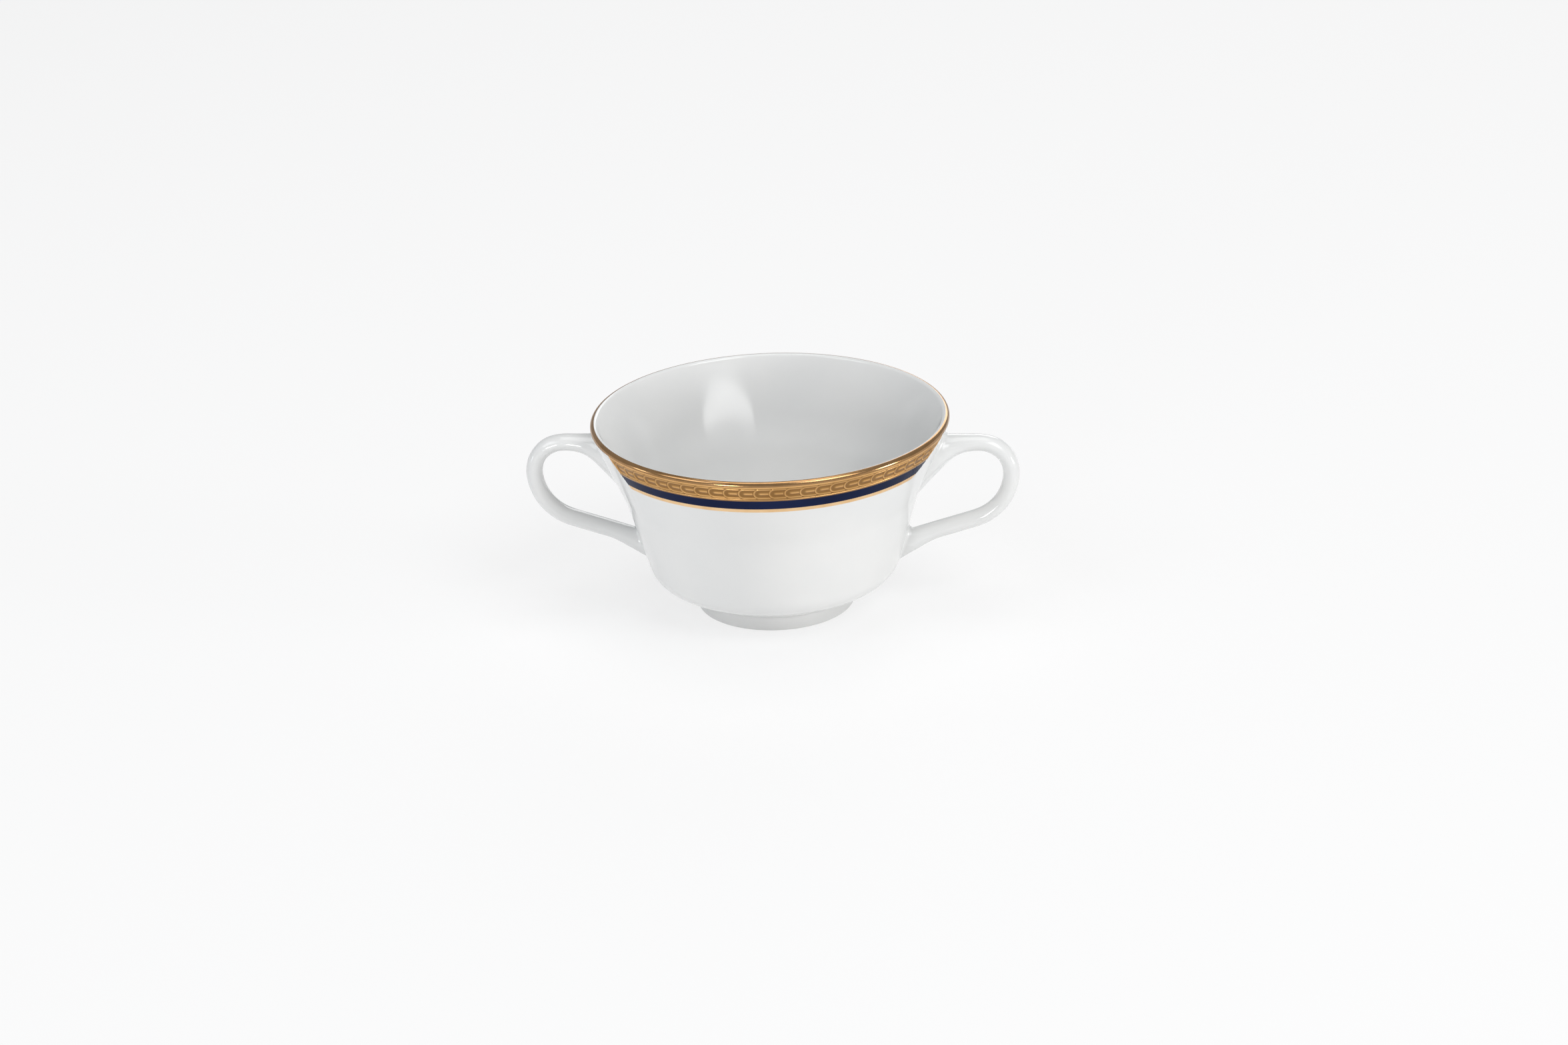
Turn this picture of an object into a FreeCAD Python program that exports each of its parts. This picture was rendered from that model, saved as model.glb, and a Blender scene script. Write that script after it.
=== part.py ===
import FreeCAD, Part
import math
import os

os.makedirs("parts", exist_ok=True)

# Bouillon cup in millimetres, +Z up.
# The origin is the middle of the foot's underside; the two handles lie along X.
# The cup with its foot ring and both handles is one piece of porcelain.

# Overall size
CUP_HEIGHT = 61.5
RIM_RADIUS = 55.0

# Foot ring and the hollow under it
FOOT_HEIGHT = 4.4
FOOT_RING_WIDTH = 2.8
FOOT_EDGE_ROUNDING = 0.7
FOOT_TO_BELLY_ROUNDING = 1.4
RECESS_HEIGHT = 3.4
RECESS_DRAFT = 0.8
RECESS_ROUNDING = 1.6

# Outer wall, from the rim down: a flared lip, a tapering side, a rounded belly, a sloping underside.
# Each width is how far that piece of the wall comes in towards the axis.
LIP_FLARE_WIDTH = 9.6
SIDE_TAPER_WIDTH = 7.4
UNDERSIDE_WIDTH = 13.7
BELLY_HEIGHT = 11.4
BELLY_ROUNDING = 8.0
LIP_CORNER_DROP = 24.0
LIP_CORNER_ROUNDING = 30.0
LIP_TOP_DROP = 1.8
LIP_TOP_ROUNDING = 2.8
RIM_ROUNDING = 1.15

# Wall thickness, measured square to the surface
UNDERSIDE_THICKNESS = 3.6
SIDE_THICKNESS = 3.0
LIP_THICKNESS = 2.5
FLOOR_THICKNESS = 3.8
FLOOR_ROUNDING = 22.0

# Handle loop: an oval bar between the rim and the belly
HANDLE_THICKNESS = 5.1
HANDLE_WIDTH = 6.8
HANDLE_REACH = 21.2
HANDLE_TOP_DROP = 6.4
BOW_TOP_ROUNDING = 9.6
BOW_LOWER_ROUNDING = 16.2
LOWER_ARM_CLIMB = 10.6

# Handle roots: each flares down along the wall to its toe and is cut off inside the wall
ROOT_OVERRUN = 7.0
ROOT_DEPTH_SHARE = 0.5
UPPER_ROOT_WIDTH = 26.0
UPPER_ROOT_ABOVE_ARM = 16.2
UPPER_ROOT_SPREAD = 6.7
UPPER_ROOT_ROUNDING = 12.0
LOWER_ROOT_WIDTH = 9.0
LOWER_ROOT_ABOVE_BELLY = 2.5
LOWER_ROOT_HEIGHT = 6.6
LOWER_ROOT_SPREAD = 8.5
LOWER_ROOT_ROUNDING = 10.0
LOWER_ROOT_START = 18.0
ROOT_FILLET = 1.2

# Leaf chain carved under the rim: two equal strips that stop short of the handles.
# Each leaf is a line round its end with a vein in it. Drops are measured from the rim.
LEAF_PITCH_ANGLE = 4.86
LEAVES_PER_STRIP = 26
STRIP_MIDDLE_ANGLE = -81.0
LEAF_CHAIN_DROP = 4.0
LEAF_HEIGHT = 3.7
LEAF_LINE_WIDTH = 0.4
LEAF_LINE_DEPTH = 0.25
LEAF_OPENING_ANGLE = 70
VEIN_LENGTH = 2.0
VEIN_WIDTH = 0.35

# How many sections shape the handle, and how many points shape each of them
ROOT_SECTIONS = 8
BOW_SECTIONS = 12
SECTION_POINTS = 16
SMALLEST_EDGE = 0.001

# Radii that follow from the widths above
LIP_CORNER_RADIUS = RIM_RADIUS - LIP_FLARE_WIDTH
BELLY_RADIUS = LIP_CORNER_RADIUS - SIDE_TAPER_WIDTH
FOOT_RADIUS = BELLY_RADIUS - UNDERSIDE_WIDTH


def point(radius, height):
    return FreeCAD.Vector(radius, 0, height)


def corner_reach(before, corner, after, rounding):
    """How far from the corner its rounding starts."""
    half_angle = (before - corner).getAngle(after - corner) / 2
    return rounding / math.tan(half_angle)


def fitting_reaches(corners):
    """The reach of each corner's rounding, made shorter where two would overlap."""
    points = [corner for corner, _ in corners]
    reaches = [0]
    for before, (corner, rounding), after in zip(points, corners[1:], points[2:]):
        reaches.append(corner_reach(before, corner, after, rounding))
    reaches.append(0)
    fits = [1]
    for start, end, first, last in zip(points, points[1:], reaches, reaches[1:]):
        fits.append(start.distanceToPoint(end) / max(first + last, SMALLEST_EDGE))
    fits.append(1)
    return [reach * min(1, near, far) for reach, near, far in zip(reaches, fits, fits[1:])]


def rounded_line(corners):
    """Edges through the corners (point, rounding) with tangent arcs."""
    points = [corner for corner, _ in corners]
    reaches = fitting_reaches(corners)
    edges = []
    start = points[0]
    for before, corner, after, reach in zip(points, points[1:], points[2:], reaches[1:]):
        back = (before - corner).normalize()
        ahead = (after - corner).normalize()
        half_angle = back.getAngle(ahead) / 2
        rounding = reach * math.tan(half_angle)
        first = corner + back * reach
        last = corner + ahead * reach
        middle_way = (back + ahead).normalize()
        middle = corner + middle_way * (rounding / math.sin(half_angle) - rounding)
        if start.distanceToPoint(first) > SMALLEST_EDGE:
            edges.append(Part.makeLine(start, first))
        edges.append(Part.Arc(first, middle, last).toShape())
        start = last
    if start.distanceToPoint(points[-1]) > SMALLEST_EDGE:
        edges.append(Part.makeLine(start, points[-1]))
    return edges


def outer_corners():
    """Corners of the outer wall from the top of the foot ring to the rim."""
    return [
        point(FOOT_RADIUS, FOOT_HEIGHT),
        point(BELLY_RADIUS, BELLY_HEIGHT),
        point(LIP_CORNER_RADIUS, CUP_HEIGHT - LIP_CORNER_DROP),
        point(RIM_RADIUS, CUP_HEIGHT - LIP_TOP_DROP),
        point(RIM_RADIUS, CUP_HEIGHT),
    ]


def inside_line(share):
    """Corners of the line inside the outer wall, at a share of the wall's thickness."""
    outer = outer_corners()
    thicknesses = (UNDERSIDE_THICKNESS, SIDE_THICKNESS, LIP_THICKNESS)
    floor_height = RECESS_HEIGHT + FLOOR_THICKNESS * share
    level = point(1, 0)
    faces = [(point(0, floor_height), level)]
    for low, high, thickness in zip(outer, outer[1:], thicknesses):
        along = (high - low).normalize()
        inward = point(-along.z, along.x)
        faces.append((low + inward * thickness * share, along))
    faces.append((point(0, CUP_HEIGHT), level))
    corners = [(point(0, floor_height), 0)]
    roundings = (
        FLOOR_ROUNDING,
        BELLY_ROUNDING - SIDE_THICKNESS * share,
        LIP_CORNER_ROUNDING + LIP_THICKNESS * share,
        RIM_ROUNDING,
    )
    for (p, u), (q, v), rounding in zip(faces, faces[1:], roundings):
        across = u.x * v.z - u.z * v.x
        reach = ((q.x - p.x) * v.z - (q.z - p.z) * v.x) / across
        corners.append((p + u * reach, rounding))
    return corners


def turned(edges):
    """The solid that a closed section makes when turned round the axis."""
    first = edges[0].firstVertex(True).Point
    last = edges[-1].lastVertex(True).Point
    section = Part.Face(Part.Wire(edges + [Part.makeLine(last, first)]))
    return section.revolve(FreeCAD.Vector(0, 0, 0), FreeCAD.Vector(0, 0, 1), 360)


def body_shape():
    """The turned body: foot ring, wall, lip and inside in one closed section."""
    foot_top, belly, lip_corner, lip_top, rim = outer_corners()
    ring_inside = FOOT_RADIUS - FOOT_RING_WIDTH
    return turned(rounded_line(inside_line(1) + [
        (rim, RIM_ROUNDING),
        (lip_top, LIP_TOP_ROUNDING),
        (lip_corner, LIP_CORNER_ROUNDING),
        (belly, BELLY_ROUNDING),
        (foot_top, FOOT_TO_BELLY_ROUNDING),
        (point(FOOT_RADIUS, 0), FOOT_EDGE_ROUNDING),
        (point(ring_inside, 0), FOOT_EDGE_ROUNDING),
        (point(ring_inside - RECESS_DRAFT, RECESS_HEIGHT), RECESS_ROUNDING),
        (point(0, RECESS_HEIGHT), 0),
    ]))


def core_shape(share):
    """Everything deeper than a share of the wall's thickness."""
    top_middle = point(0, CUP_HEIGHT)
    return turned(rounded_line(inside_line(share) + [(top_middle, 0)]))


def wall_radius(height):
    """Radius of the outer wall at a height, with its corners left sharp."""
    corners = outer_corners()
    for low, high in zip(corners, corners[1:]):
        if height <= high.z:
            share = (height - low.z) / (high.z - low.z)
            return low.x + share * (high.x - low.x)
    return RIM_RADIUS


def wall_point(height, reach):
    """The point at this height and this far out from the wall."""
    return point(wall_radius(height) + reach, height)


def oval_section(outer, inner, width):
    """A closed oval between the outer and the inner point, as wide as stated along Y."""
    middle = (outer + inner) / 2
    half_height = (outer - inner) / 2
    half_width = FreeCAD.Vector(0, width / 2, 0)
    points = []
    for i in range(SECTION_POINTS):
        angle = 2 * math.pi * i / SECTION_POINTS
        points.append(middle + half_height * math.cos(angle) + half_width * math.sin(angle))
    curve = Part.BSplineCurve()
    curve.interpolate(Points=points, PeriodicFlag=True)
    return Part.Wire(curve.toShape())


def lengthened(line):
    """The outline with its first straight piece drawn on into the wall."""
    (start, _), (following, _) = line[0], line[1]
    overrun = (start - following).normalize() * ROOT_OVERRUN
    return [(start + overrun, 0)] + line[1:]


def root_sections(outer_line, inner_line, root_width):
    """Ovals between two outlines that start inside the wall and end at the bow."""
    outer_line = lengthened(outer_line)
    inner_line = lengthened(inner_line)
    outer_points = Part.Wire(rounded_line(outer_line)).discretize(Number=ROOT_SECTIONS)
    inner_points = Part.Wire(rounded_line(inner_line)).discretize(Number=ROOT_SECTIONS)
    sections = []
    for i in range(ROOT_SECTIONS):
        nearness = 1 - i / (ROOT_SECTIONS - 1)
        width = HANDLE_WIDTH + (root_width - HANDLE_WIDTH) * nearness ** 2
        sections.append(oval_section(outer_points[i], inner_points[i], width))
    return sections


def bow_sections(line):
    """Ovals of even thickness, square to the middle line of the bow."""
    middles = Part.Wire(rounded_line(line)).discretize(Number=BOW_SECTIONS)
    sections = []
    for before, middle, after in zip(middles, middles[1:], middles[2:]):
        along = (after - before).normalize()
        outward = point(-along.z, along.x) * (HANDLE_THICKNESS / 2)
        sections.append(oval_section(middle + outward, middle - outward, HANDLE_WIDTH))
    return sections


def handle_shape():
    """The loop on the +X side, with both roots ending inside the wall."""
    half = HANDLE_THICKNESS / 2
    bow_radius = RIM_RADIUS + HANDLE_REACH - half
    bow_start = bow_radius - BOW_TOP_ROUNDING
    top_height = CUP_HEIGHT - HANDLE_TOP_DROP
    under_height = top_height - HANDLE_THICKNESS
    toe_height = BELLY_HEIGHT + LOWER_ROOT_ABOVE_BELLY
    arm_height = toe_height + LOWER_ROOT_HEIGHT
    bow_corner = point(bow_radius, arm_height + LOWER_ARM_CLIMB)
    top_corner = point(bow_radius, top_height - half)

    # Upper root: a level top edge and a rounded corner under the arm
    upper_outer = [
        (wall_point(top_height, 0), 0),
        (point(bow_start, top_height), 0),
    ]
    upper_inner = [
        (wall_point(arm_height + UPPER_ROOT_ABOVE_ARM, 0), 0),
        (wall_point(under_height, UPPER_ROOT_SPREAD), UPPER_ROOT_ROUNDING),
        (point(bow_start, under_height), 0),
    ]

    # Lower arm: a straight line to the wall, with a rounded corner below it
    arm_end = wall_point(arm_height, 0)
    arm_way = (arm_end - bow_corner).normalize()
    up = point(arm_way.z, -arm_way.x) * half
    bow_end = arm_end - arm_way * LOWER_ROOT_START
    lower_outer = [
        (wall_point(toe_height, 0), 0),
        (arm_end - up - arm_way * LOWER_ROOT_SPREAD, LOWER_ROOT_ROUNDING),
        (bow_end - up, 0),
    ]
    lower_inner = [
        (arm_end + up, 0),
        (bow_end + up, 0),
    ]
    bow_line = [
        (point(bow_start, top_height - half), 0),
        (top_corner, BOW_TOP_ROUNDING),
        (bow_corner, BOW_LOWER_ROUNDING),
        (bow_end, 0),
    ]
    upper = root_sections(upper_outer, upper_inner, UPPER_ROOT_WIDTH)
    lower = root_sections(lower_outer, lower_inner, LOWER_ROOT_WIDTH)
    loop = Part.makeLoft(upper + bow_sections(bow_line) + lower[::-1], True, False)
    return loop.cut(core_shape(ROOT_DEPTH_SHARE))

def leaf_point(along, rise):
    """A point beside the +X side of the lip, measured from the middle of a leaf's round end."""
    return FreeCAD.Vector(LIP_CORNER_RADIUS, along, CUP_HEIGHT - LEAF_CHAIN_DROP + rise)


def leaf_arc(radius):
    """The leaf's round end as an arc, open on its +Y side."""
    opening = math.radians(LEAF_OPENING_ANGLE)
    along = radius * math.cos(opening)
    rise = radius * math.sin(opening)
    return Part.Arc(leaf_point(along, rise), leaf_point(-radius, 0), leaf_point(along, -rise)).toShape()


def joined(first_edge, second_edge):
    """A face between two arcs that lie side by side."""
    ends = []
    for corner in (0, 1):
        start = first_edge.Vertexes[corner].Point
        ends.append(Part.makeLine(start, second_edge.Vertexes[corner].Point))
    return Part.Face(Part.Wire([first_edge, ends[1], second_edge, ends[0]]))


def leaf_cutters():
    """What is carved away for one leaf on the +X side, still reaching into the wall."""
    line = joined(leaf_arc(LEAF_HEIGHT / 2), leaf_arc(LEAF_HEIGHT / 2 - LEAF_LINE_WIDTH))
    half = VEIN_WIDTH / 2
    corners = [leaf_point(0, -half), leaf_point(VEIN_LENGTH, -half)]
    corners += [leaf_point(VEIN_LENGTH, half), leaf_point(0, half)]
    vein = Part.Face(Part.makePolygon(corners + corners[:1]))
    outward = FreeCAD.Vector(RIM_RADIUS, 0, 0)
    return [line.extrude(outward), vein.extrude(outward)]


def leaf_lines():
    """The lines of all the leaves, as deep as stated below the outside of the lip."""
    one_leaf = Part.makeCompound(leaf_cutters()).cut(core_shape(LEAF_LINE_DEPTH / LIP_THICKNESS))
    first_angle = STRIP_MIDDLE_ANGLE - LEAF_PITCH_ANGLE * (LEAVES_PER_STRIP - 1) / 2
    leaves = []
    for strip in range(2):
        for i in range(LEAVES_PER_STRIP):
            angle = first_angle + LEAF_PITCH_ANGLE * i + 180 * strip
            leaves.append(one_leaf.rotated(FreeCAD.Vector(0, 0, 0), FreeCAD.Vector(0, 0, 1), angle))
    return Part.makeCompound(leaves)


def root_edges(shape):
    """The edges where a handle's free-form surface meets the turned wall."""
    edges = []
    for edge in shape.Edges:
        faces = shape.ancestorsOfType(edge, Part.Face)
        free_form = [face for face in faces if isinstance(face.Surface, Part.BSplineSurface)]
        if len(faces) == 2 and len(free_form) == 1:
            edges.append(edge)
    return edges


right_handle = handle_shape()
left_handle = right_handle.mirror(FreeCAD.Vector(0, 0, 0), FreeCAD.Vector(1, 0, 0))
cup = body_shape().fuse([right_handle, left_handle]).removeSplitter()
cup = cup.makeFillet(ROOT_FILLET, root_edges(cup))
cup = cup.cut(leaf_lines()).Solids[0]
print("valid", cup.isValid(), "volume", round(cup.Volume), "faces", len(cup.Faces))
cup.exportStep("parts/cup.step")
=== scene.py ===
# %% [markdown]
# A two-handled bouillon cup in glazed porcelain, with a gilded and cobalt blue border under its rim.
# The porcelain body is turned, so its looks start from the same outline as the CAD model, spun round
# the axis with clean rows of faces where the bands of the border begin and end.
# The handles are free-form and already right in the CAD model, so their surface is taken from a copy of it.
# The cup's sizes are in millimetres and are multiplied by MM, because Blender's unit here is the metre.
# The floor, the lamps and the camera are placed in metres.

import bisect
import bmesh
import bpy
import math
from mathutils import Matrix, Vector


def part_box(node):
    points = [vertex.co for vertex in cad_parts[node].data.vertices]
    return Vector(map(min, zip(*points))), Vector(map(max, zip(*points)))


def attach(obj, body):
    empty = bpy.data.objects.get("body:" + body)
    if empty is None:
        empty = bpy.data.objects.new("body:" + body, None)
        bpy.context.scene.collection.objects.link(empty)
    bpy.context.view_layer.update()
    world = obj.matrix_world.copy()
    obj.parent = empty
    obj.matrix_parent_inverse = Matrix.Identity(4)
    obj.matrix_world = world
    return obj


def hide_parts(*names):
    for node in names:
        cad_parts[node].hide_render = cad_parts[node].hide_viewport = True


MM = 0.001

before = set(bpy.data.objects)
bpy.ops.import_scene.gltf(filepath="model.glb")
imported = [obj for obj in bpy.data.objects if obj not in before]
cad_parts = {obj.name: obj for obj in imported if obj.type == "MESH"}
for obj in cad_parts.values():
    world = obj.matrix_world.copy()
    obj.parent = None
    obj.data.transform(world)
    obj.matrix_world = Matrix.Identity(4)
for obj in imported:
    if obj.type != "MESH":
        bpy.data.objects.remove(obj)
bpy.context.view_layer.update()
cad_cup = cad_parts["cup"]
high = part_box("cup")[1]
CUP_HEIGHT = high[2] / MM
RIM_RADIUS = high[1] / MM
print("cup is", round(CUP_HEIGHT, 2), "mm high, its rim's radius is", round(RIM_RADIUS, 2), "mm")

# %% [markdown]
# The outline's sizes in millimetres, the same as in the CAD model.
# A cup like this is jiggered: a turning tool scrapes soft clay in a plaster mould, so inside and outside
# are true surfaces of revolution, and only the glaze makes them a little uneven.

# %% Sizes
FOOT_HEIGHT = 4.4
FOOT_RING_WIDTH = 2.8
FOOT_EDGE_ROUNDING = 0.7
FOOT_TO_BELLY_ROUNDING = 1.4
RECESS_HEIGHT = 3.4
RECESS_DRAFT = 0.8
RECESS_ROUNDING = 1.6
LIP_FLARE_WIDTH = 9.6
SIDE_TAPER_WIDTH = 7.4
UNDERSIDE_WIDTH = 13.7
BELLY_HEIGHT = 11.4
BELLY_ROUNDING = 8.0
LIP_CORNER_DROP = 24.0
LIP_CORNER_ROUNDING = 30.0
LIP_TOP_DROP = 1.8
LIP_TOP_ROUNDING = 2.8
RIM_ROUNDING = 1.15
UNDERSIDE_THICKNESS = 3.6
SIDE_THICKNESS = 3.0
LIP_THICKNESS = 2.5
FLOOR_THICKNESS = 3.8
FLOOR_ROUNDING = 22.0

LIP_CORNER_RADIUS = RIM_RADIUS - LIP_FLARE_WIDTH
BELLY_RADIUS = LIP_CORNER_RADIUS - SIDE_TAPER_WIDTH
FOOT_RADIUS = BELLY_RADIUS - UNDERSIDE_WIDTH

# Depth of each edge of the border below the rim
LEAVES_TOP_DROP = 1.4
LEAVES_END_DROP = 6.2
COBALT_TOP_DROP = 6.65
COBALT_END_DROP = 9.7
GOLD_LINE_END_DROP = 10.9

# Where the border's front half ends beside the handles, as angles round the axis from +X.
# The ends are cut on a slant: each angle changes by the slant for every millimetre below the rim.
RIGHT_END_ANGLE = -11.0
RIGHT_END_SLANT = -1.65
LEFT_END_ANGLE = -147.5
LEFT_END_SLANT = 0.7

# How finely the outline is divided: degrees for each step of an arc, millimetres for a straight edge
ARC_STEP = 5.0
LEAST_ARC_STEPS = 6
LONGEST_STRAIGHT = 1.5
TINY = 0.00001

# %% [markdown]
# Drawing an outline: a vertex is pulled along straight lines and swung round the centre of each rounding,
# which leaves a chain of edges. Straight stretches are divided, so that the shading stays even there.


# %% Outline tools
def place(radius, height):
    return Vector((radius * MM, 0, height * MM))


def draw_straight(bm, tip, target):
    """Pull the last vertex to the target in short steps."""
    way = target - tip.co
    count = math.ceil(way.length / (LONGEST_STRAIGHT * MM))
    for _ in range(count):
        tip = bmesh.ops.extrude_vert_indiv(bm, verts=[tip])["verts"][0]
        bmesh.ops.translate(bm, verts=[tip], vec=way / count)
    return tip


def draw_arc(bm, tip, centre, turn):
    """Swing the last vertex round the centre by an angle."""
    steps = max(LEAST_ARC_STEPS, math.ceil(math.degrees(abs(turn)) / ARC_STEP))
    swung = bmesh.ops.spin(bm, geom=[tip], cent=centre, axis=(0, 1, 0), angle=turn, steps=steps)
    return [part for part in swung["geom_last"] if isinstance(part, bmesh.types.BMVert)][0]


def draw_outline(bm, corners):
    """Edges through the corners (place, rounding in mm), each corner rounded by a tangent arc."""
    tip = bmesh.ops.create_vert(bm, co=corners[0][0])["vert"][0]
    for (before, _), (corner, rounding), (after, _) in zip(corners, corners[1:], corners[2:]):
        back = (before - corner).normalized()
        ahead = (after - corner).normalized()
        half_angle = back.angle(ahead) / 2
        tip = draw_straight(bm, tip, corner + back * (rounding * MM / math.tan(half_angle)))
        centre = corner + (back + ahead).normalized() * (rounding * MM / math.sin(half_angle))
        side = math.copysign(1, back.cross(ahead).y)
        tip = draw_arc(bm, tip, centre, -side * (math.pi - 2 * half_angle))
    return draw_straight(bm, tip, corners[-1][0])


def wall_corners():
    """The outer wall from the top of the foot ring to the rim, each corner with its rounding."""
    return [
        (place(FOOT_RADIUS, FOOT_HEIGHT), FOOT_TO_BELLY_ROUNDING),
        (place(BELLY_RADIUS, BELLY_HEIGHT), BELLY_ROUNDING),
        (place(LIP_CORNER_RADIUS, CUP_HEIGHT - LIP_CORNER_DROP), LIP_CORNER_ROUNDING),
        (place(RIM_RADIUS, CUP_HEIGHT - LIP_TOP_DROP), LIP_TOP_ROUNDING),
        (place(RIM_RADIUS, CUP_HEIGHT), RIM_ROUNDING),
    ]


def inside_corners():
    """Corners of the inside of the bowl, one wall thickness within the outer corners."""
    outer = [corner for corner, _ in wall_corners()]
    level = Vector((1, 0, 0))
    floor = place(0, RECESS_HEIGHT + FLOOR_THICKNESS)
    faces = [(floor, level)]
    for start, end, thickness in zip(outer, outer[1:], (UNDERSIDE_THICKNESS, SIDE_THICKNESS, LIP_THICKNESS)):
        along = (end - start).normalized()
        inward = Vector((-along.z, 0, along.x))
        faces.append((start + inward * thickness * MM, along))
    faces.append((place(0, CUP_HEIGHT), level))
    roundings = (
        FLOOR_ROUNDING,
        BELLY_ROUNDING - SIDE_THICKNESS,
        LIP_CORNER_ROUNDING + LIP_THICKNESS,
        RIM_ROUNDING,
    )
    corners = [(floor, 0)]
    for (p, u), (q, v), rounding in zip(faces, faces[1:], roundings):
        across = u.x * v.z - u.z * v.x
        reach = ((q.x - p.x) * v.z - (q.z - p.z) * v.x) / across
        corners.append((p + u * reach, rounding))
    return corners


def foot_corners():
    """Corners from the foot ring's outer edge to the middle of the hollow under the cup."""
    ring_inside = FOOT_RADIUS - FOOT_RING_WIDTH
    return [
        (place(FOOT_RADIUS, 0), FOOT_EDGE_ROUNDING),
        (place(ring_inside, 0), FOOT_EDGE_ROUNDING),
        (place(ring_inside - RECESS_DRAFT, RECESS_HEIGHT), RECESS_ROUNDING),
        (place(0, RECESS_HEIGHT), 0),
    ]


# %% [markdown]
# The outer wall's line is also needed as radius over height: the leaf ring sits flush in it, and
# it tells the handles from the wall. So it is drawn once by itself and read back.

# %% Outer wall's line
wall_mesh = bmesh.new()
draw_outline(wall_mesh, wall_corners())
wall_line = sorted((vert.co.z / MM, vert.co.x / MM) for vert in wall_mesh.verts)
wall_heights = [height for height, _ in wall_line]
wall_mesh.free()


def wall_radius(height):
    """Radius of the outer wall in mm at a height in mm."""
    above = bisect.bisect_left(wall_heights, height)
    above = min(max(above, 1), len(wall_line) - 1)
    (low_height, low_radius), (high_height, high_radius) = wall_line[above - 1 : above + 1]
    share = (height - low_height) / max(high_height - low_height, TINY)
    return low_radius + (high_radius - low_radius) * min(max(share, 0), 1)


print("wall line has", len(wall_line), "points; radius at mid height", round(wall_radius(CUP_HEIGHT / 2), 2))

# %% [markdown]
# Finishes. On the real cup the body is white porcelain under a clear gloss glaze, which lies a little
# uneven, so its reflections wander softly. A group holds that ripple, because every glazed surface has it.
# A second group holds the unevenness of the gilding. The scales count the noise's features to the metre,
# and the depths are the heights of the bumps in millimetres.


# %% Node groups
WAVES_SCALE = 55.0
WAVES_DEPTH = 0.02
PEEL_SCALE = 700.0
PEEL_DEPTH = 0.0016
SHADE_SCALE = 28.0
SHADE_RANGE = (0.35, 0.65)
CLOUDS_SCALE = 160.0
WEAR_RANGE = (0.4, 0.7)
ROUGH_RANGE = (0.3, 0.7)
GILDING_ROUGHNESS = (0.26, 0.4)
GRAIN_SCALE = 1500.0
GRAIN_DEPTH = 0.002


def new_group(name, outputs):
    group = bpy.data.node_groups.new(name, "ShaderNodeTree")
    for label, kind in outputs:
        group.interface.new_socket(label, in_out="OUTPUT", socket_type=kind)
    group.nodes.new("NodeGroupOutput")
    return group


def noise(tree, vector, scale, detail):
    node = tree.nodes.new("ShaderNodeTexNoise")
    node.inputs["Scale"].default_value = scale
    node.inputs["Detail"].default_value = detail
    tree.links.new(vector, node.inputs["Vector"])
    return node.outputs["Fac"]


def spread(tree, value, source, target=(0.0, 1.0)):
    """Map a value from one range to another, held at its ends."""
    node = tree.nodes.new("ShaderNodeMapRange")
    for socket, number in zip(node.inputs[1:5], source + target):
        socket.default_value = number
    tree.links.new(value, node.inputs["Value"])
    return node.outputs["Result"]


def bump(tree, height, depth, before=None):
    node = tree.nodes.new("ShaderNodeBump")
    node.inputs["Strength"].default_value = 1.0
    node.inputs["Distance"].default_value = depth * MM
    tree.links.new(height, node.inputs["Height"])
    if before:
        tree.links.new(before, node.inputs["Normal"])
    return node.outputs["Normal"]


def glaze_ripple_group():
    """Slow waves and fine orange peel in the glaze, with a faint shade that follows its thickness."""
    group = new_group("glaze_ripple", [("Shade", "NodeSocketFloat"), ("Normal", "NodeSocketVector")])
    where = group.nodes.new("ShaderNodeTexCoord").outputs["Object"]
    waves = noise(group, where, WAVES_SCALE, detail=1.0)
    peel = noise(group, where, PEEL_SCALE, detail=1.0)
    shade = noise(group, where, SHADE_SCALE, detail=3.0)
    normal = bump(group, peel, PEEL_DEPTH, bump(group, waves, WAVES_DEPTH))
    end = group.nodes["Group Output"]
    group.links.new(spread(group, shade, SHADE_RANGE), end.inputs["Shade"])
    group.links.new(normal, end.inputs["Normal"])
    return group


def gilding_wear_group():
    """Brushed and slightly rubbed gold: cloudy roughness, thin browner patches, a fine uneven skin."""
    outputs = [("Wear", "NodeSocketFloat"), ("Roughness", "NodeSocketFloat"), ("Normal", "NodeSocketVector")]
    group = new_group("gilding_wear", outputs)
    where = group.nodes.new("ShaderNodeTexCoord").outputs["Object"]
    clouds = noise(group, where, CLOUDS_SCALE, detail=4.0)
    grain = noise(group, where, GRAIN_SCALE, detail=2.0)
    end = group.nodes["Group Output"]
    group.links.new(spread(group, clouds, WEAR_RANGE), end.inputs["Wear"])
    roughness = spread(group, clouds, ROUGH_RANGE, GILDING_ROUGHNESS)
    group.links.new(roughness, end.inputs["Roughness"])
    group.links.new(bump(group, grain, GRAIN_DEPTH), end.inputs["Normal"])
    return group


glaze_ripple = glaze_ripple_group()
gilding_wear = gilding_wear_group()
print("node groups:", glaze_ripple.name, gilding_wear.name)
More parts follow.
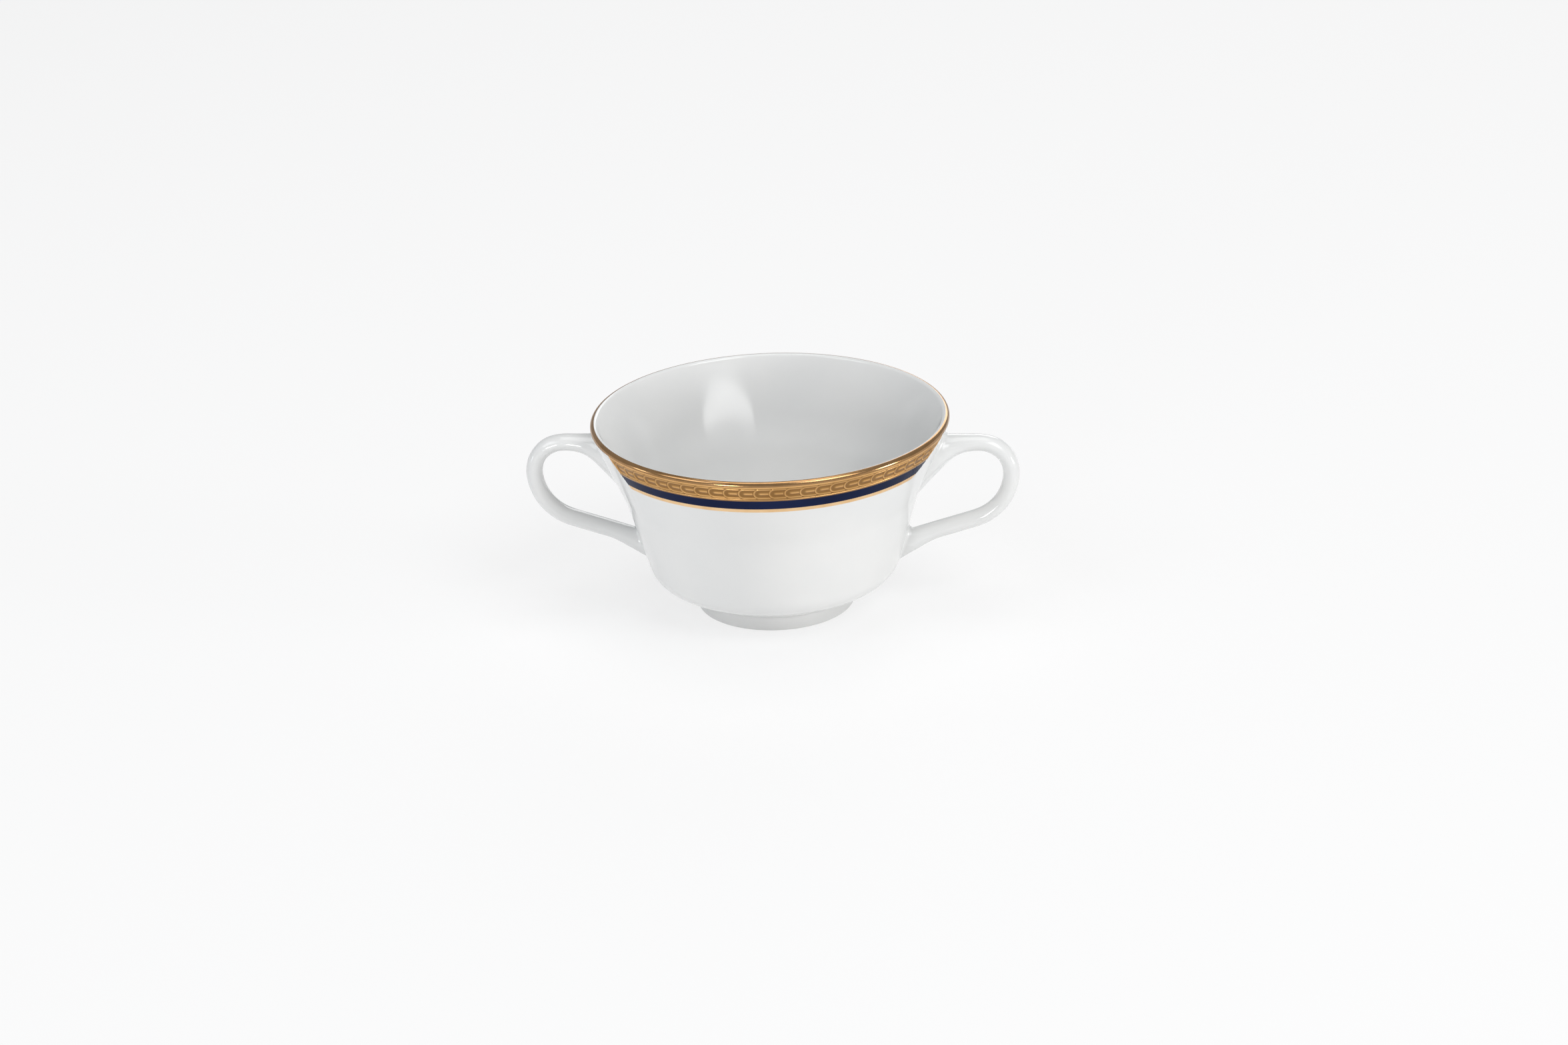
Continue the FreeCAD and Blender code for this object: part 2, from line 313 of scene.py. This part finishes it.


# %% [markdown]
# Each finish has its own Principled BSDF. Uniform values stand on the shader's own sockets, and only
# what varies over the surface is wired: the tint, the roughness of the gold, the ripple of the glaze.
# Each pair of shades is the two ends between which a finish drifts. The gold has three tones: bright in the
# lowest line, warm over the leaves, and smooth on the rim and just above the cobalt, where its colour is
# darkened to brown: painted shade standing in for the dark surroundings it mirrors.


# %% Materials
GLAZE_SHADES = ((0.745, 0.75, 0.745), (0.78, 0.78, 0.77))
GLAZE_ROUGHNESS = 0.06
GLAZE_IOR = 1.5
BARE_SHADES = ((0.72, 0.69, 0.64), (0.79, 0.77, 0.73))
BARE_ROUGHNESS = 0.75
COBALT_SHADES = ((0.004, 0.009, 0.036), (0.008, 0.015, 0.058))
COBALT_ROUGHNESS = 0.12
COBALT_IOR = 1.3
COBALT_SPECULAR = 0.12
BRIGHT_GOLD_SHADES = ((0.86, 0.60, 0.34), (0.78, 0.50, 0.25))
# The rim gold's dark brown is painted shade: a darker copy of the gold that stands in for the dark
# surroundings it mirrors.
RIM_GOLD_PAINTED_SHADE_TONES = ((0.38, 0.22, 0.10), (0.31, 0.17, 0.07))
RIM_GOLD_ROUGHNESS = 0.16
LEAF_GOLD_SHADES = ((0.74, 0.435, 0.175), (0.63, 0.355, 0.13))
# Painted shade: the leaf gold turns to this dark brown in the relief's hollows.
HOLLOW_PAINTED_SHADE_GOLD = (0.19, 0.09, 0.025)


def new_material(name, group):
    material = bpy.data.materials.new(name)
    material.use_nodes = True
    tree = material.node_tree
    shader = tree.nodes["Principled BSDF"]
    effect = tree.nodes.new("ShaderNodeGroup")
    effect.node_tree = group
    tree.links.new(effect.outputs["Normal"], shader.inputs["Normal"])
    return material, tree, shader, effect


def colour_mix(tree, factor, target):
    """A mix of two colours by a factor, wired to its target. Returns the two sockets to fill."""
    mix = tree.nodes.new("ShaderNodeMix")
    mix.data_type = "RGBA"
    tree.links.new(factor, mix.inputs["Factor"])
    result = [socket for socket in mix.outputs if socket.type == "RGBA"][0]
    tree.links.new(result, target)
    return [socket for socket in mix.inputs if socket.type == "RGBA"]


def tint(tree, factor, shades, target):
    """A colour that runs from the first shade to the second with the factor."""
    for socket, shade in zip(colour_mix(tree, factor, target), shades):
        socket.default_value = (*shade, 1)


def glazed_porcelain():
    material, tree, shader, effect = new_material("glazed_porcelain", glaze_ripple)
    tint(tree, effect.outputs["Shade"], GLAZE_SHADES, shader.inputs["Base Color"])
    shader.inputs["Roughness"].default_value = GLAZE_ROUGHNESS
    shader.inputs["IOR"].default_value = GLAZE_IOR
    return material


def bare_porcelain():
    """The foot ring's edge, wiped free of glaze so that the cup doesn't stick to the kiln shelf."""
    material, tree, shader, effect = new_material("bare_porcelain", glaze_ripple)
    tint(tree, effect.outputs["Shade"], BARE_SHADES, shader.inputs["Base Color"])
    shader.inputs["Roughness"].default_value = BARE_ROUGHNESS
    return material


def cobalt_enamel():
    material, tree, shader, effect = new_material("cobalt_enamel", glaze_ripple)
    tint(tree, effect.outputs["Shade"], COBALT_SHADES, shader.inputs["Base Color"])
    shader.inputs["Roughness"].default_value = COBALT_ROUGHNESS
    shader.inputs["IOR"].default_value = COBALT_IOR
    shader.inputs["Specular IOR Level"].default_value = COBALT_SPECULAR
    return material


def polished_gold():
    material, tree, shader, effect = new_material("polished_gold", gilding_wear)
    tint(tree, effect.outputs["Wear"], BRIGHT_GOLD_SHADES, shader.inputs["Base Color"])
    tree.links.new(effect.outputs["Roughness"], shader.inputs["Roughness"])
    shader.inputs["Metallic"].default_value = 1.0
    return material


def dark_painted_rim_gold():
    """The gold on the rim itself, which is smoother than the rest; its colour is darkened to brown as painted
    shade for the dark surroundings it mirrors.
    """
    material, tree, shader, effect = new_material("dark_painted_rim_gold", gilding_wear)
    tint(tree, effect.outputs["Wear"], RIM_GOLD_PAINTED_SHADE_TONES, shader.inputs["Base Color"])
    shader.inputs["Roughness"].default_value = RIM_GOLD_ROUGHNESS
    shader.inputs["Metallic"].default_value = 1.0
    return material


def leaf_gold():
    """The gold over the leaf chain, painted darker and browner in the hollows of the relief as shade."""
    material, tree, shader, effect = new_material("leaf_gold", gilding_wear)
    relief = tree.nodes.new("ShaderNodeAttribute")
    relief.attribute_name = "relief"
    # The relief attribute darkens the gold towards its hollows: painted shade.
    hollow, raised = colour_mix(tree, relief.outputs["Fac"], shader.inputs["Base Color"])
    hollow.default_value = (*HOLLOW_PAINTED_SHADE_GOLD, 1)
    tint(tree, effect.outputs["Wear"], LEAF_GOLD_SHADES, raised)
    tree.links.new(effect.outputs["Roughness"], shader.inputs["Roughness"])
    shader.inputs["Metallic"].default_value = 1.0
    return material


porcelain = glazed_porcelain()
bare = bare_porcelain()
cobalt = cobalt_enamel()
gold = polished_gold()
painted_shade_rim_finish = dark_painted_rim_gold()
leaf = leaf_gold()
BODY_FINISHES = [porcelain, gold, cobalt, bare, painted_shade_rim_finish]
GLAZED, GILDED, BLUE, UNGLAZED, RIM_GILDED = range(5)
print("finishes:", [material.name for material in bpy.data.materials if material.users])

# %% [markdown]
# The border is two equal strips of decoration, one on the front and one on the back, which stop short of
# the handles. Its edges are cut into the body's mesh, so that each band ends on a clean line.


# %% Border
BESIDE_END_ANGLE = 14.0
UNGLAZED_HEIGHT = FOOT_EDGE_ROUNDING / 4


def end_angles(drop):
    """Right and left end of the front strip, in degrees, at a depth below the rim."""
    return RIGHT_END_ANGLE + RIGHT_END_SLANT * drop, LEFT_END_ANGLE + LEFT_END_SLANT * drop


def in_border(x, y, drop):
    """Whether a place on the wall lies within one of the two strips."""
    angle = math.degrees(math.atan2(y, x))
    if angle > 0:
        angle -= 180
    right, left = end_angles(drop)
    return left < angle < right


def wall_place(angle, drop):
    height = CUP_HEIGHT - drop
    radius = wall_radius(height)
    turn = math.radians(angle)
    return Vector((radius * math.cos(turn), radius * math.sin(turn), height)) * MM


def cut_border_end(bm, side, half_turn):
    """Cut the faces beside one end of a strip along its slanted end."""
    top = Matrix.Rotation(half_turn, 3, "Z") @ wall_place(end_angles(LEAVES_TOP_DROP)[side], LEAVES_TOP_DROP)
    end_angle = end_angles(GOLD_LINE_END_DROP)[side]
    end = Matrix.Rotation(half_turn, 3, "Z") @ wall_place(end_angle, GOLD_LINE_END_DROP)
    outward = Vector(((top.x + end.x) / 2, (top.y + end.y) / 2, 0)).normalized()
    square = (end - top).cross(outward).normalized()
    near = []
    for face in bm.faces:
        middle = face.calc_center_median()
        drop = CUP_HEIGHT - middle.z / MM
        outside = math.hypot(middle.x, middle.y) / MM > wall_radius(CUP_HEIGHT - drop) - LIP_THICKNESS / 2
        beside = middle.xy.normalized().dot(outward.xy) > math.cos(math.radians(BESIDE_END_ANGLE))
        if LEAVES_TOP_DROP < drop < GOLD_LINE_END_DROP and outside and beside:
            near.append(face)
    around = set(near)
    for face in near:
        around.update(face.edges)
        around.update(face.verts)
    bmesh.ops.bisect_plane(bm, geom=list(around), plane_co=(top + end) / 2, plane_no=square, dist=TINY * MM)


def finish_of(middle):
    """The finish of a face on the body by the place of its middle."""
    height = middle.z / MM
    drop = CUP_HEIGHT - height
    radius = math.hypot(middle.x, middle.y) / MM
    if height < UNGLAZED_HEIGHT and radius > FOOT_RADIUS - FOOT_RING_WIDTH:
        return UNGLAZED
    if radius < wall_radius(height) - LIP_THICKNESS / 2 and drop > RIM_ROUNDING:
        return GLAZED
    if radius < RIM_RADIUS - RIM_ROUNDING and drop < RIM_ROUNDING:
        return GLAZED
    # RIM_GILDED takes the darker rim gold, whose brown is painted shade.
    if drop < LEAVES_TOP_DROP:
        return RIM_GILDED
    if drop > GOLD_LINE_END_DROP or not in_border(middle.x, middle.y, drop):
        return GLAZED
    if drop < COBALT_TOP_DROP:
        return RIM_GILDED
    return BLUE if drop < COBALT_END_DROP else GILDED


# %% [markdown]
# The body: its whole outline, inside and out, is drawn as one chain of edges and spun a full turn.
# One long spin of many steps is slow, so an eighth is spun and then copied round by doubling.
# Where the leaf ring goes, the wall is set back by 0.6 mm, so nothing shows through the ring.
# Edges that turn by more than SHARP are kept crisp, or the step at the seat shades a faint line beside it.

# %% Body
RING_SEAT_DEPTH = 0.6
SEAM = 0.01
MERGE = 0.001
BODY_STEPS = 256
BODY_DOUBLINGS = 3
SHARP = math.radians(35)


def new_object(name, bm, finishes):
    mesh = bpy.data.meshes.new(name)
    bm.to_mesh(mesh)
    bm.free()
    for finish in finishes:
        mesh.materials.append(finish)
    made = bpy.data.objects.new(name, mesh)
    bpy.context.collection.objects.link(made)
    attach(made, "root")
    return made


def spin_round(bm, steps, doublings):
    """Spin the outline through one sector and copy that round, twice as much each time."""
    sectors = 2**doublings
    sector = math.tau / sectors
    outline = bm.verts[:] + bm.edges[:]
    bmesh.ops.spin(bm, geom=outline, cent=(0, 0, 0), axis=(0, 0, 1), angle=sector, steps=steps // sectors)
    for doubling in range(doublings):
        copied = bmesh.ops.duplicate(bm, geom=bm.verts[:] + bm.edges[:] + bm.faces[:])["geom"]
        verts = [part for part in copied if isinstance(part, bmesh.types.BMVert)]
        turn = Matrix.Rotation(sector * 2**doubling, 3, "Z")
        bmesh.ops.rotate(bm, verts=verts, cent=(0, 0, 0), matrix=turn)
    bmesh.ops.remove_doubles(bm, verts=bm.verts[:], dist=MERGE * MM)


def cut_level(bm, drop):
    everything = bm.verts[:] + bm.edges[:]
    bmesh.ops.bisect_plane(
        bm, geom=everything, plane_co=place(0, CUP_HEIGHT - drop), plane_no=(0, 0, 1), dist=TINY * MM
    )


def seat_leaf_ring(bm):
    """Set the outline back between the leaf ring's edges."""
    for vert in bm.verts:
        drop = CUP_HEIGHT - vert.co.z / MM
        on_wall = vert.co.x / MM > wall_radius(CUP_HEIGHT - drop) - LIP_THICKNESS / 2
        if on_wall and LEAVES_TOP_DROP + SEAM / 2 < drop < LEAVES_END_DROP - SEAM / 2:
            vert.co.x -= RING_SEAT_DEPTH * MM


def make_body():
    bm = bmesh.new()
    draw_outline(bm, inside_corners() + wall_corners()[::-1] + foot_corners())
    for drop in (
        LEAVES_TOP_DROP,
        LEAVES_TOP_DROP + SEAM,
        LEAVES_END_DROP - SEAM,
        LEAVES_END_DROP,
        COBALT_TOP_DROP,
        COBALT_END_DROP,
        GOLD_LINE_END_DROP,
    ):
        cut_level(bm, drop)
    seat_leaf_ring(bm)
    spin_round(bm, BODY_STEPS, BODY_DOUBLINGS)
    for half_turn in (0, math.pi):
        for side in (0, 1):
            cut_border_end(bm, side, half_turn)
    bmesh.ops.recalc_face_normals(bm, faces=bm.faces[:])
    for edge in bm.edges:
        edge.smooth = edge.calc_face_angle(0) < SHARP
    for face in bm.faces:
        face.smooth = True
        face.material_index = finish_of(face.calc_center_median())
    return new_object("cup_bowl", bm, BODY_FINISHES)


body = make_body()
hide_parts("cup")
print("body has", len(body.data.polygons), "faces")

# %% [markdown]
# The leaf ring: on the real cup the chain of leaves is raised in the porcelain and gilded over.
# It needs much finer faces than the rest of the wall, so it is a ring of its own, flush in its seat.
# Each leaf is a tongue with its round end to the left, a raised edge, a hollow within and a vein,
# and its open end slips under the round end of the next.

# %% Leaf ring
LEAF_PITCH_ANGLE = 4.86
FIRST_NOSE_ANGLE = -143.7
RING_STEPS = 2048
RING_DOUBLINGS = 6
RING_ROWS = 28
LEAF_TOP_DROP = 2.05
LEAF_END_DROP = 5.95
LEAF_NOSE = 2.0
LEAF_EDGE_WIDTH = 0.3
LEAF_HOLLOW_WIDTH = 0.75
LEAF_HOLLOW = 0.8
VEIN_START = 1.5
VEIN_FADE = 0.9
VEIN_WIDTH = 0.34
RELIEF_DEPTH = 0.34
BEAD_DROP = 1.7
BEAD_WIDTH = 0.17
BEAD_HEIGHT = 0.8
LOWER_STEP_START = 0.08
LOWER_STEP_END = 0.3
RING_THICKNESS = RING_SEAT_DEPTH * 0.8
END_FADE = 1.2


def smooth_step(value, start, end):
    share = min(max((value - start) / (end - start), 0), 1)
    return share * share * (3 - 2 * share)


def inside_leaf(along, rise, half_height):
    """How far a place lies inside the leaf's outline, in mm; its nose is at along = 0."""
    if along >= LEAF_NOSE:
        return half_height - abs(rise)
    reach = math.hypot((LEAF_NOSE - along) / LEAF_NOSE, rise / half_height)
    return (1 - reach) * min(LEAF_NOSE, half_height)


def relief_height(along, drop, pitch):
    """Height of the relief, 0 at the ground beside the leaves and 1 at the level of the wall."""
    half_height = (LEAF_END_DROP - LEAF_TOP_DROP) / 2
    rise = (LEAF_TOP_DROP + LEAF_END_DROP) / 2 - drop
    if drop < LEAF_TOP_DROP or drop > LEAF_END_DROP:
        ground_top = smooth_step(abs(drop - BEAD_DROP), BEAD_WIDTH, BEAD_WIDTH * 2)
        if drop < LEAF_TOP_DROP:
            return 1 - ground_top * BEAD_HEIGHT
        return smooth_step(drop, LEAF_END_DROP + LOWER_STEP_START, LEAF_END_DROP + LOWER_STEP_END)
    depth = inside_leaf(along, rise, half_height)
    if depth <= 0:
        along += pitch
        depth = inside_leaf(along, rise, half_height)
    edge = smooth_step(depth, 0.0, LEAF_EDGE_WIDTH)
    hollow = smooth_step(depth, LEAF_EDGE_WIDTH, LEAF_HOLLOW_WIDTH)
    vein = math.exp(-((rise / VEIN_WIDTH) ** 2)) * smooth_step(along, VEIN_START, VEIN_START + VEIN_FADE)
    return edge - LEAF_HOLLOW * hollow * (1 - vein)


def make_leaf_ring():
    bm = bmesh.new()
    drops = []
    for row in range(RING_ROWS + 1):
        drops.append(LEAVES_TOP_DROP + (LEAVES_END_DROP - LEAVES_TOP_DROP) * row / RING_ROWS)
    line = [place(wall_radius(CUP_HEIGHT - drop), CUP_HEIGHT - drop) for drop in drops]
    back = Vector((-RING_THICKNESS * MM, 0, 0))
    line = [line[0] + back] + line + [line[-1] + back]
    tip = bmesh.ops.create_vert(bm, co=line[0])["vert"][0]
    first = tip
    for target in line[1:]:
        tip = draw_straight(bm, tip, target)
    bm.edges.new((tip, first))
    spin_round(bm, RING_STEPS, RING_DOUBLINGS)
    bmesh.ops.recalc_face_normals(bm, faces=bm.faces[:])
    for edge in bm.edges:
        edge.smooth = edge.calc_face_angle(0) < SHARP
    # The relief height is also read by the leaf gold, which uses it to darken the hollows as painted shade.
    relief = bm.verts.layers.float.new("relief")
    leaf_radius = wall_radius(CUP_HEIGHT - (LEAF_TOP_DROP + LEAF_END_DROP) / 2)
    pitch = math.radians(LEAF_PITCH_ANGLE) * leaf_radius
    flare = (wall_line[-1][1] - LIP_CORNER_RADIUS) / (LIP_CORNER_DROP - LIP_TOP_DROP)
    for vert in bm.verts:
        drop = CUP_HEIGHT - vert.co.z / MM
        radius = vert.co.xy.length / MM
        vert[relief] = 1.0
        on_face = radius > wall_radius(CUP_HEIGHT - drop) - RING_SEAT_DEPTH / 3
        if not on_face or not LEAVES_TOP_DROP + SEAM < drop < LEAVES_END_DROP - SEAM:
            continue
        degrees = math.degrees(math.atan2(vert.co.y, vert.co.x)) % 180 - 180
        share = (degrees - FIRST_NOSE_ANGLE) / LEAF_PITCH_ANGLE % 1
        height = relief_height(share * pitch, drop, pitch)
        right, left = end_angles(drop)
        inside = min(right - degrees, degrees - left)
        height = 1 - (1 - height) * smooth_step(inside, 0, END_FADE)
        vert[relief] = height
        inward = Vector((-vert.co.x, -vert.co.y, 0)).normalized() + Vector((0, 0, flare))
        vert.co += inward.normalized() * RELIEF_DEPTH * MM * (1 - height)
    for face in bm.faces:
        face.smooth = True
        middle = face.calc_center_median()
        face.material_index = 0 if in_border(middle.x, middle.y, CUP_HEIGHT - middle.z / MM) else 1
    return new_object("leaf_ring", bm, [leaf, porcelain])


leaf_ring = make_leaf_ring()
print("leaf ring has", len(leaf_ring.data.polygons), "faces")

# %% [markdown]
# The handles are slip-cast, stuck on with slip before firing and smoothed into the wall by hand.
# Their surface is copied from the CAD model: the faces that stand out from the wall. Its open edges are
# drawn a little way into the wall and closed, and the CAD model's own normals are kept for the shading.
# The rounding above the foot ring stands out from the wall's line too, so nothing at its height is taken.

# %% Handles
STANDS_OUT = 0.03
ROOT_IN_WALL = 1.2
LOWEST_ROOT = FOOT_HEIGHT + FOOT_TO_BELLY_ROUNDING
KEY_DIGITS = 4


def place_key(co):
    """A place as whole ten-thousandths of a millimetre, to find it again after the copy."""
    return tuple(round(c / MM, KEY_DIGITS) for c in co)


def mean_normals(mesh):
    """The CAD model's normal at each of its places, as an average over the corners there."""
    normals = {}
    for loop, normal in zip(mesh.loops, mesh.corner_normals):
        key = place_key(mesh.vertices[loop.vertex_index].co)
        normals[key] = normals.get(key, Vector((0, 0, 0))) + normal.vector
    return normals


def make_handle(name, side, normals):
    bm = bmesh.new()
    bm.from_mesh(cad_cup.data)
    bmesh.ops.remove_doubles(bm, verts=bm.verts[:], dist=TINY * MM)
    kept = set()
    for vert in bm.verts:
        height = vert.co.z / MM
        stands_out = vert.co.xy.length / MM > wall_radius(height) + STANDS_OUT
        if vert.co.x * side > 0 and stands_out and height > LOWEST_ROOT:
            kept.update(vert.link_faces)
    rest = [face for face in bm.faces if face not in kept]
    bmesh.ops.delete(bm, geom=rest, context="FACES")
    shading = bm.verts.layers.float_vector.new("shading")
    for vert in bm.verts:
        vert[shading] = normals[place_key(vert.co)].normalized()
    rim = [edge for edge in bm.edges if edge.is_boundary]
    drawn = bmesh.ops.extrude_edge_only(bm, edges=rim)["geom"]
    for vert in (part for part in drawn if isinstance(part, bmesh.types.BMVert)):
        radius = vert.co.xy.length
        vert.co.xy *= (radius - ROOT_IN_WALL * MM) / radius
    open_edges = [edge for edge in bm.edges if edge.is_boundary]
    bmesh.ops.holes_fill(bm, edges=open_edges, sides=0)
    bmesh.ops.triangulate(bm, faces=[face for face in bm.faces if len(face.verts) > 4])
    for face in bm.faces:
        face.smooth = True
        face.material_index = 0
    handle = new_object(name, bm, [porcelain])
    layer = handle.data.attributes["shading"]
    handle.data.normals_split_custom_set_from_vertices([item.vector for item in layer.data])
    return handle


cad_normals = mean_normals(cad_cup.data)
handles = [make_handle("handle_right", 1, cad_normals), make_handle("handle_left", -1, cad_normals)]
for handle in handles:
    print(handle.name, "has", len(handle.data.polygons), "faces")

# %% [markdown]
# The floor: a large plain sheet of matt paper, which keeps the cup's soft shadow without mirroring it.
# To read as the white ground of a studio photograph without more light on the cup, part of it glows white,
# but only for what the camera sees and what gold and glaze mirror. It adds no diffuse light to the cup.

# %% Floor
PAPER_WHITE = 1.0
PAPER_GLOW = 0.72
PAPER_COLOUR = (0.93, 0.93, 0.93, 1)
PAPER_ROUGHNESS = 0.9
FLOOR_SIZE = 4.0
bm = bmesh.new()
bmesh.ops.create_grid(bm, x_segments=1, y_segments=1, size=FLOOR_SIZE)
floor_mesh = bpy.data.meshes.new("floor")
bm.to_mesh(floor_mesh)
bm.free()
floor = bpy.data.objects.new("floor", floor_mesh)
bpy.context.collection.objects.link(floor)
paper = bpy.data.materials.new("paper")
paper.use_nodes = True
tree = paper.node_tree
sheet = tree.nodes["Principled BSDF"]
sheet.inputs["Base Color"].default_value = PAPER_COLOUR
sheet.inputs["Roughness"].default_value = PAPER_ROUGHNESS
glow = tree.nodes.new("ShaderNodeEmission")
glow.inputs["Strength"].default_value = PAPER_WHITE
seen = tree.nodes.new("ShaderNodeLightPath")
share = tree.nodes.new("ShaderNodeMath")
share.operation = "MULTIPLY"
share.inputs[1].default_value = PAPER_GLOW
mirrored = tree.nodes.new("ShaderNodeMath")
mirrored.operation = "MAXIMUM"
tree.links.new(seen.outputs["Is Camera Ray"], mirrored.inputs[0])
tree.links.new(seen.outputs["Is Glossy Ray"], mirrored.inputs[1])
tree.links.new(mirrored.outputs["Value"], share.inputs[0])
lifted = tree.nodes.new("ShaderNodeMixShader")
tree.links.new(share.outputs["Value"], lifted.inputs["Fac"])
tree.links.new(sheet.outputs["BSDF"], lifted.inputs[1])
tree.links.new(glow.outputs["Emission"], lifted.inputs[2])
tree.links.new(lifted.outputs["Shader"], tree.nodes["Material Output"].inputs["Surface"])
floor_mesh.materials.append(paper)

# %% [markdown]
# Light: a broad lamp high on the right gives the shape its shading, a weaker and cooler one on the left fills
# it, and a third stands over the cup. Small ones near the floor light the wall from the front and both sides,
# and one behind keeps the back of the cup from going grey.
# The soft patch inside the bowl is the mirror image of a lamp. The wall curves round but is nearly straight
# from top to bottom, so the image is squeezed in width and drawn out in height: the lamp is a wide and very
# low oval, tilted a little so that its image leans less.
# The room itself is dim for diffuse light and brighter where it is only mirrored.


# %% Lights
def area_lamp(name, where, target, size, power, colour=(1, 1, 1), shape="SQUARE"):
    data = bpy.data.lights.new(name, "AREA")
    data.shape = shape
    data.size = size
    data.energy = power
    data.color = colour
    lamp = bpy.data.objects.new(name, data)
    lamp.location = where
    lamp.rotation_euler = (Vector(target) - Vector(where)).to_track_quat("-Z", "Y").to_euler()
    bpy.context.collection.objects.link(lamp)
    return lamp


MIDDLE = (0, 0, 0.04)
COOL = (0.93, 0.96, 1.0)
area_lamp("key", (1.05, -0.9, 1.55), MIDDLE, size=1.0, power=16.5)
area_lamp("fill", (-1.25, -0.8, 1.45), MIDDLE, size=1.0, power=8.5, colour=COOL)
area_lamp("low_front", (-0.7, -1.8, 0.2), MIDDLE, size=0.4, power=9.5)
area_lamp("side_right", (1.9, -0.3, 0.24), MIDDLE, size=0.4, power=11.5)
area_lamp("side_left", (-1.9, -0.3, 0.2), MIDDLE, size=0.35, power=2.5, colour=COOL)
area_lamp("top", (0, 0.2, 1.8), MIDDLE, size=1.2, power=10)
area_lamp("back", (0.3, 1.9, 0.9), MIDDLE, size=0.8, power=5)

BOWL_LIGHT_PLACE = (0.494, -0.575, 0.407)
BOWL_LIGHT_AIM = (-0.0187, 0.0442, 0.0499)
BOWL_LIGHT_WIDTH = 0.595
BOWL_LIGHT_HEIGHT = 0.021
BOWL_LIGHT_TILT = -6.6
BOWL_LIGHT_POWER = 0.19
bowl_light = area_lamp(
    "bowl_light", BOWL_LIGHT_PLACE, BOWL_LIGHT_AIM, BOWL_LIGHT_WIDTH, BOWL_LIGHT_POWER, shape="ELLIPSE"
)
bowl_light.data.size_y = BOWL_LIGHT_HEIGHT
bowl_light.rotation_euler.rotate_axis("Z", math.radians(BOWL_LIGHT_TILT))

ROOM_LIGHT = 0.12
ROOM_MIRRORED = 0.55
ROOM_COLOUR = (0.93, 0.95, 0.97, 1)
world = bpy.data.worlds.new("studio")
world.use_nodes = True
tree = world.node_tree
room = tree.nodes["Background"]
room.inputs["Color"].default_value = ROOM_COLOUR
seen = tree.nodes.new("ShaderNodeLightPath")
brightness = tree.nodes.new("ShaderNodeMapRange")
brightness.inputs["To Min"].default_value = ROOM_LIGHT
brightness.inputs["To Max"].default_value = ROOM_MIRRORED
tree.links.new(seen.outputs["Is Glossy Ray"], brightness.inputs["Value"])
tree.links.new(brightness.outputs["Result"], room.inputs["Strength"])
bpy.context.scene.world = world

# %% [markdown]
# The camera stands where the photograph was taken: a little to the right and looking down by 23 degrees.
# Its turn is given about X, Y and Z: tipped up from looking straight down, leaned by two degrees as the
# photograph is, and swung to the left by five.

# %% Camera
CAMERA_PLACE = (0.12023, -1.14389, 0.51144)
CAMERA_TURN = (67.088, 1.978, 5.006)
LENS = 92.735
SENSOR_WIDTH = 36

camera_data = bpy.data.cameras.new("camera")
camera_data.sensor_width = SENSOR_WIDTH
camera_data.lens = LENS
camera = bpy.data.objects.new("camera", camera_data)
camera.location = CAMERA_PLACE
camera.rotation_euler = [math.radians(degrees) for degrees in CAMERA_TURN]
bpy.context.collection.objects.link(camera)
bpy.context.scene.camera = camera
bpy.context.scene.view_settings.view_transform = "Standard"
print("camera's lens is", camera_data.lens, "mm")
